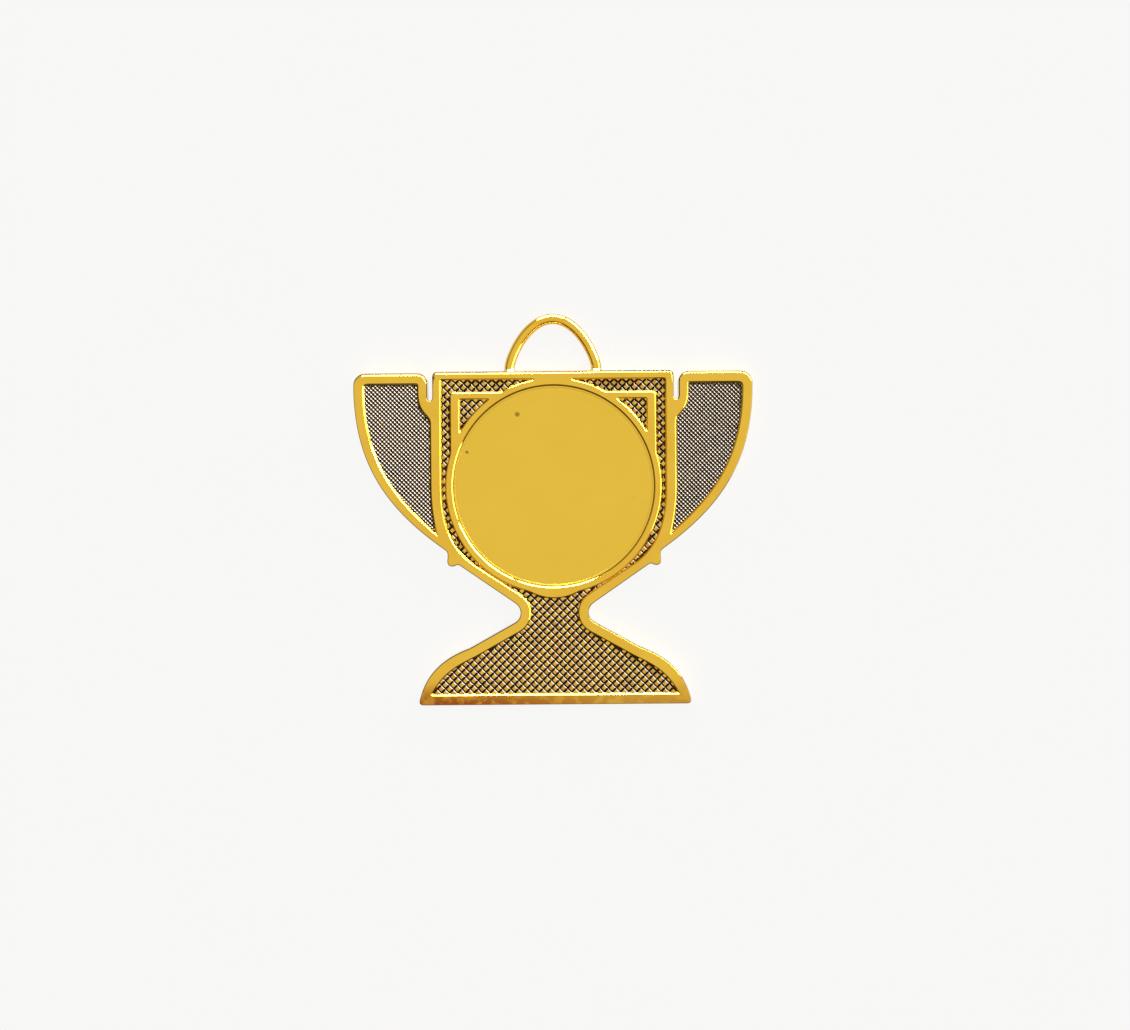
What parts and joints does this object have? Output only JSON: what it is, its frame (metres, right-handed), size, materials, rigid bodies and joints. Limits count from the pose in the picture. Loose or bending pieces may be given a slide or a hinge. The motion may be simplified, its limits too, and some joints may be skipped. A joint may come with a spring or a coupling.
{
  "type": "cup-shaped medal",
  "caption": "Flat die-cast gold medal in the outline of a two-handled cup, with knurled fields, raised rims, a round centre disc in a recess and a wire ribbon loop.",
  "frame": {"origin": "middle of the whole outline, on the plane of the flat back", "axes": "+Z out of the decorated front, +Y from the base of the cup towards the ribbon loop, +X across the handles"},
  "size_m": [0.05, 0.049, 0.0025],
  "materials": {
    "gold_plated_casting": "bright gold plating over a zinc casting, worn edges, sharp knurled fields",
    "gold_plated_wire": "bright gold plating over drawn wire",
    "gold_plated_solder": "plated solder, uneven",
    "gold_disc": "satin gold anodised pressed sheet",
    "adhesive": "dull pressure-sensitive adhesive"
  },
  "bodies": {
    "root": {"medal_body": "gold_plated_casting", "ribbon_loop": "gold_plated_wire", "loop_solder_left": "gold_plated_solder", "loop_solder_right": "gold_plated_solder", "centre_disc": "gold_disc", "disc_adhesive": "adhesive"}
  },
  "joints": []
}
